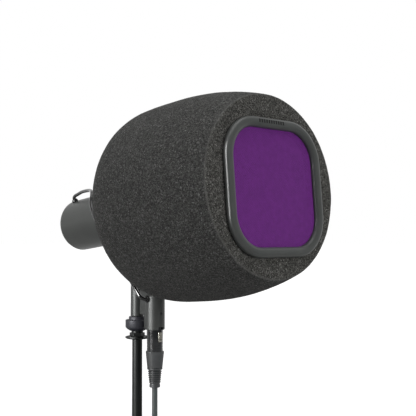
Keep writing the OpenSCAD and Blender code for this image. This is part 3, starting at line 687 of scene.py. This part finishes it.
def build_windscreen():
    """The thin foam cup inside the microphone's grille, with soft lips and a rounded front."""
    turns = np.linspace(0, 2 * math.pi, SCREEN_COLUMNS, endpoint=False)
    rows = [(radius, z, 0) for radius, z in screen_profile()]
    screen = new_piece("screen_foam", ring_points(rows, turns),
                       grid_faces(len(rows), SCREEN_COLUMNS), "windscreen_foam", MIC)
    weld = screen.modifiers.new("weld", "WELD")
    weld.merge_threshold = WELD
    displace(screen, texture("screen_cells", "VORONOI", 1.2 * MM), 0.12 * MM)
    apply_modifiers(screen)
    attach(screen, "mic")
    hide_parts("grille_foam")


# ---------------------------------------------------------------- pop filter


def swept_square(name, section, side, corner, material, body, placing):
    """Sweeps a closed (x, z) section round a rounded square. x is 0 on its outline."""
    inner = side / 2 - corner
    steps = 20
    rings = []
    for quarter in range(4):
        for step in range(steps + 1):
            turn = math.pi / 2 * (quarter + step / steps)
            mid_turn = math.pi / 2 * quarter + math.pi / 4
            centre = math.sqrt(2) * inner * np.array([math.cos(mid_turn), math.sin(mid_turn)])
            way = np.array([math.cos(turn), math.sin(turn)])
            rings.append([(*(centre + way * (corner + x)), z) for x, z in section])
    points = [p for ring in rings for p in ring]
    faces = grid_faces(len(rings), len(section), close_rows=True)
    return new_piece(name, points, faces, material, placing, body)


def mesh_level():
    """Height of the front mesh's front."""
    return local_points("front_mesh", FILTER)[:, 2].max()


def bezel_sizes():
    """Front, back, side, corner radius, opening and skirt side of the CAD's bezel."""
    points = local_points("filter_bezel", FILTER)
    z = points[:, 2]
    front, back = z.max(), z.min()
    side = 2 * np.abs(points[:, 0]).max()
    straight = points[np.abs(points[:, 0]) > side / 2 - NEAR]
    corner = side / 2 - np.abs(straight[:, 1]).max()
    inner = points[(z > mesh_level() - NEAR)
                   & (np.abs(points[:, 1]) <= side / 2 - corner + NEAR)]
    opening = 2 * np.abs(inner[:, 0]).min()
    skirt_side = 2 * np.abs(points[z < back + NEAR][:, 0]).max()
    return front, back, side, corner, opening, skirt_side


def rounded_section(corners):
    """Closed section from (x, z, rounding) corners, each turned in a quarter circle."""
    section = []
    count = len(corners)
    for i, (x, z, rounding) in enumerate(corners):
        here = np.array([x, z])
        before = np.array(corners[i - 1][:2])
        after = np.array(corners[(i + 1) % count][:2])
        to_before = (before - here) / np.linalg.norm(before - here) * rounding
        to_after = (after - here) / np.linalg.norm(after - here) * rounding
        for turn in np.linspace(0, math.pi / 2, 9):
            section.append(tuple(here + to_before * (1 - math.sin(turn))
                                 + to_after * (1 - math.cos(turn))))
    return section


def build_bezel():
    """The bezel with its skirt, as one section swept round a rounded square."""
    front, back, side, corner, opening, skirt_side = bezel_sizes()
    border = (side - opening) / 2
    mesh_front = mesh_level()
    foam_face = local_points("foam_shell", FILTER)[:, 2].max()
    flange = foam_face + 1.2 * MM
    inset = (side - skirt_side) / 2
    wall = 2.2 * MM
    section = rounded_section([
        (0, flange, 0.6 * MM), (0, front, 3.6 * MM), (-border, front, 4.2 * MM),
        (-border, mesh_front, 0.2 * MM), (-inset - wall, mesh_front, 0.2 * MM),
        (-inset - wall, back, 0.3 * MM), (-inset, back, 0.5 * MM), (-inset, flange, 0.3 * MM),
    ])
    bezel = swept_square("bezel_frame", section, side, corner, "bezel_plastic", "pop_filter",
                         FILTER)
    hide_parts("filter_bezel")


def build_mark():
    """A plain row of small dark bars on the bezel's top border, in place of any lettering."""
    front, _, side, _, _, _ = bezel_sizes()
    bar_w, bar_h, gap, count = 1.9 * MM, 3.1 * MM, 1.1 * MM, 11
    middle, aside = side / 2 - 3.8 * MM, -3.5 * MM
    root, proud, chamfer = -0.4 * MM, 0.06 * MM, 0.15 * MM
    points, faces = [], []
    for i in range(count):
        x = aside + (i - (count - 1) / 2) * (bar_w + gap)
        base = len(points)
        for inset, z in ((0, root), (0, 0), (chamfer, proud)):
            for sx, sy in ((-1, -1), (1, -1), (1, 1), (-1, 1)):
                points.append((x + sx * (bar_w / 2 - inset), middle + sy * (bar_h / 2 - inset),
                               front + z))
        for ring in range(2):
            for k in range(4):
                a = base + 4 * ring
                faces.append((a + k, a + (k + 1) % 4, a + 4 + (k + 1) % 4, a + 4 + k))
        faces.append(tuple(base + 8 + k for k in range(4)))
        faces.append(tuple(base + k for k in (3, 2, 1, 0)))
    mark = new_piece("bezel_mark", points, faces, "mark_dark", FILTER, "pop_filter")
    mark.data.polygons.foreach_set("use_smooth", [False] * len(mark.data.polygons))


WEAVE_PITCH = 1.1 * MM
THREAD_W = 0.80 * MM
THREAD_H = 0.10 * MM
THREAD_CROWN = 0.7 * THREAD_H
CLOTH_INSET = 0.3 * MM
CLOTH_STRAIGHT = 21 * MM  # from the middle to where the cloth's corner starts


def yarn_points(lane, steps, lead_in, across, level):
    """A flat yarn, three points wide, that goes up and down once in two pitches."""
    points = []
    for step in range(-steps, steps + 1):
        along = step / 2 * WEAVE_PITCH
        lift = THREAD_H * math.cos(math.pi * (along / WEAVE_PITCH + lead_in))
        for side in (-1, 0, 1):
            aside = lane + side * THREAD_W / 2
            crown = lift + (THREAD_CROWN if side == 0 else 0)
            points.append((along, aside, level + crown) if across
                          else (aside, along, level + crown))
    return points


def yarn_faces(base, rows, across):
    """Two rows of quads along a yarn whose first point is base, all facing forward."""
    faces = []
    for row in range(rows - 1):
        for column in range(2):
            a = base + 3 * row + column
            quad = (a, a + 1, a + 4, a + 3)
            faces.append(quad[::-1] if across else quad)
    return faces


def build_cloth(name, node, shift):
    """Plain-woven cloth: flat yarns that pass over and under each other."""
    cad = local_points(node, FILTER)
    level = cad[:, 2].max() - 1.6 * THREAD_H
    half = np.abs(cad[:, 0]).max() - CLOTH_INSET
    corner = half - CLOTH_STRAIGHT
    count = int(2 * half / WEAVE_PITCH)
    points, faces = [], []
    for across in (0, 1):
        for i in range(count):
            lane = (i - (count - 1) / 2) * WEAVE_PITCH + shift
            over = max(abs(lane) - CLOTH_STRAIGHT, 0)
            if over >= corner:
                continue
            reach = CLOTH_STRAIGHT + math.sqrt(corner ** 2 - over ** 2)
            steps = int(2 * reach / WEAVE_PITCH)
            lead_in = shift / WEAVE_PITCH + i + across
            faces += yarn_faces(len(points), 2 * steps + 1, across)
            points += yarn_points(lane, steps, lead_in, across, level)
    cloth = new_piece(name, points, faces, "purple_mesh", FILTER, "pop_filter")
    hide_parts(node)


# ---------------------------------------------------------------- microphone lead


def build_lead():
    """The CAD lead's route with a rounder skin, from the yoke to the barrel."""
    mesh = frame["nodes"]["mic_lead"].data.copy()
    mesh.materials.clear()
    mesh.materials.append(MATERIALS["lead_jacket"])
    lead = bpy.data.objects.new("thin_lead", mesh)
    bpy.context.scene.collection.objects.link(lead)
    weld = lead.modifiers.new("weld", "WELD")
    weld.merge_threshold = NEAR
    smooth = lead.modifiers.new("smooth", "SUBSURF")
    smooth.levels = smooth.render_levels = 1
    apply_modifiers(lead)
    lead.data.polygons.foreach_set("use_smooth", [True] * len(lead.data.polygons))
    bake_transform(lead)
    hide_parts("mic_lead")


# ---------------------------------------------------------------- CAD nodes that stay


# width of the bevel on each node's edges, in millimetres
EDGE_WIDTHS = {
    "mic_barrel": 0.35, "rear_cap": 0.5, "yoke_block": 0.55, "yoke_strap": 0.4,
    "lock_collar": 0.5, "jam_nut": 0.35, "dished_washer": 0.25, "stand_rod": 0.3,
    "plug_shell": 0.25, "plug_boot": 0.2, "plug_latch": 0.3, "left_knob": 0.25,
    "right_knob": 0.25, "yoke_screw": 0.3, "front_ring": 0.3, "mesh_retainer": 0.4,
}
FINE_EDGE = 0.12


def finish_nodes():
    """Gives each CAD node its material, small rounded edges and smooth curves."""
    slots = {part["node"]: part["material_slot"] for part in frame["record"]["subparts"]}
    for node, piece in frame["nodes"].items():
        mesh = piece.data
        mesh.materials.clear()
        mesh.materials.append(MATERIALS[slots[node]])
        mesh.polygons.foreach_set("use_smooth", [True] * len(mesh.polygons))
        if "custom_normal" in mesh.attributes:
            mesh.attributes.remove(mesh.attributes["custom_normal"])
        weld = piece.modifiers.new("weld", "WELD")
        weld.merge_threshold = WELD
        flats = piece.modifiers.new("flats", "DECIMATE")
        flats.decimate_type = "DISSOLVE"
        flats.angle_limit = math.radians(0.5)
        bevel = piece.modifiers.new("edges", "BEVEL")
        bevel.width = EDGE_WIDTHS.get(node, FINE_EDGE) * MM
        bevel.segments = 2
        bevel.limit_method = "ANGLE"
        bevel.angle_limit = math.radians(28)
        bevel.harden_normals = True


# ---------------------------------------------------------------- studio


VIEW_AZIMUTH = -43.72  # degrees
VIEW_ELEVATION = -1.96  # degrees
VIEW_DISTANCE = 0.821  # from the microphone's pivot
VIEW_ASIDE = 0.0722  # the aim lies this far to the pivot's right
VIEW_RISE = 0.0044  # and this far above it
VIEW_LENS = 69.23  # focal length in millimetres
FLOOR_GAP = 0.5 * MM


def build_camera():
    """The chosen viewpoint: the yoke's axis stands left of the picture's centre."""
    azimuth, elevation = math.radians(VIEW_AZIMUTH), math.radians(VIEW_ELEVATION)
    back = Vector((math.sin(azimuth) * math.cos(elevation),
                   -math.cos(azimuth) * math.cos(elevation), math.sin(elevation)))
    right = Vector((math.cos(azimuth), math.sin(azimuth), 0))
    aim = PIVOT + right * VIEW_ASIDE + Vector((0, 0, VIEW_RISE))
    camera = bpy.data.cameras.new("camera")
    camera.lens = VIEW_LENS
    camera.sensor_width = 36
    camera.clip_start = 0.05
    camera.clip_end = 40
    holder = bpy.data.objects.new("camera", camera)
    holder.location = aim + back * VIEW_DISTANCE
    holder.rotation_euler = (-back).to_track_quat("-Z", "Y").to_euler()
    bpy.context.scene.collection.objects.link(holder)
    bpy.context.scene.camera = holder


def build_light(name, offset, size, power):
    """A rectangular light that faces the shield from an offset, in metres."""
    light = bpy.data.lights.new(name, "AREA")
    light.shape = "RECTANGLE"
    light.size, light.size_y = size
    light.energy = power
    offset = Vector(offset)
    holder = bpy.data.objects.new(name, light)
    holder.location = SHIELD.translation + offset
    holder.rotation_euler = offset.to_track_quat("Z", "Y").to_euler()
    holder.visible_camera = False
    bpy.context.scene.collection.objects.link(holder)
    return holder


def build_lights():
    """Soft light from above, the left and the front, and a card that only reflections see."""
    build_light("top", (-0.1, -0.35, 1.5), (1.4, 1.4), 9)
    left = build_light("left", (-1.5, 0.2, 0.35), (0.6, 1.3), 8)
    card = build_light("card", (-1.5, 0.13, 0.25), (0.8, 1.6), 90)
    front = build_light("front", (0.1, -1.8, 0.1), (1.0, 1.0), 15)
    card.visible_diffuse = False
    left.visible_glossy = front.visible_glossy = False


def behind(tree, place, reach, values):
    """A value that goes from one level to another along the camera's line of sight."""
    azimuth = math.radians(VIEW_AZIMUTH)
    along = tree.nodes.new("ShaderNodeVectorMath")
    along.operation = "DOT_PRODUCT"
    along.inputs[1].default_value = (-math.sin(azimuth), math.cos(azimuth), 0)
    tree.links.new(place, along.inputs[0])
    span = tree.nodes.new("ShaderNodeMapRange")
    span.inputs["From Min"].default_value, span.inputs["From Max"].default_value = reach
    span.inputs["To Min"].default_value, span.inputs["To Max"].default_value = values
    tree.links.new(along.outputs["Value"], span.inputs["Value"])
    return span.outputs["Result"]


def build_floor():
    """A wide pale floor."""
    rings = [(0, 0), (1.5, 0), (3.0, 0), (6.0, 0), (12.0, 0.05)]
    columns = 64
    points, faces = [(0, 0, 0)], []
    for radius, z in rings[1:]:
        for k in range(columns):
            turn = 2 * math.pi * k / columns
            points.append((radius * math.cos(turn), radius * math.sin(turn), z))
    for k in range(columns):
        faces.append((0, 1 + k, 1 + (k + 1) % columns))
    for row in range(len(rings) - 2):
        for k in range(columns):
            a, b = 1 + row * columns + k, 1 + row * columns + (k + 1) % columns
            faces.append((a, b, b + columns, a + columns))
    mesh = bpy.data.meshes.new("studio_floor")
    mesh.from_pydata(points, [], faces)
    mesh.materials.append(floor_finish())
    mesh.polygons.foreach_set("use_smooth", [True] * len(mesh.polygons))
    floor = bpy.data.objects.new("studio_floor", mesh)
    floor.location.z = cad_low.z - FLOOR_GAP
    bpy.context.scene.collection.objects.link(floor)


def build_world():
    """White to the camera. Reflections see a bright wall behind the object, dark in front."""
    world = bpy.data.worlds.new("studio")
    bpy.context.scene.world = world
    world.use_nodes = True
    tree = world.node_tree
    tree.nodes.clear()
    output = tree.nodes.new("ShaderNodeOutputWorld")
    path = tree.nodes.new("ShaderNodeLightPath")
    way = tree.nodes.new("ShaderNodeTexCoord")

    def shade(strength):
        made = tree.nodes.new("ShaderNodeBackground")
        made.inputs["Color"].default_value = (1, 1, 1, 1)
        if isinstance(strength, float):
            made.inputs["Strength"].default_value = strength
        else:
            tree.links.new(strength, made.inputs["Strength"])
        return made.outputs[0]

    def choose(share, a, b):
        mix = tree.nodes.new("ShaderNodeMixShader")
        tree.links.new(share, mix.inputs[0])
        tree.links.new(a, mix.inputs[1])
        tree.links.new(b, mix.inputs[2])
        return mix.outputs[0]

    wall = behind(tree, way.outputs["Generated"], (-0.2, 0.6), (0.10, 0.9))
    lit = choose(path.outputs["Is Glossy Ray"], shade(0.16), shade(wall))
    tree.links.new(choose(path.outputs["Is Camera Ray"], lit, shade(1.0)),
                   output.inputs["Surface"])


finish_nodes()
build_foam()
build_windscreen()
build_bezel()
build_mark()
build_cloth("front_cloth", "front_mesh", 0.0)
build_cloth("rear_cloth", "rear_mesh", 0.3 * MM)
build_lead()
build_floor()
build_world()
build_camera()
build_lights()
bpy.context.scene.view_settings.view_transform = "Standard"
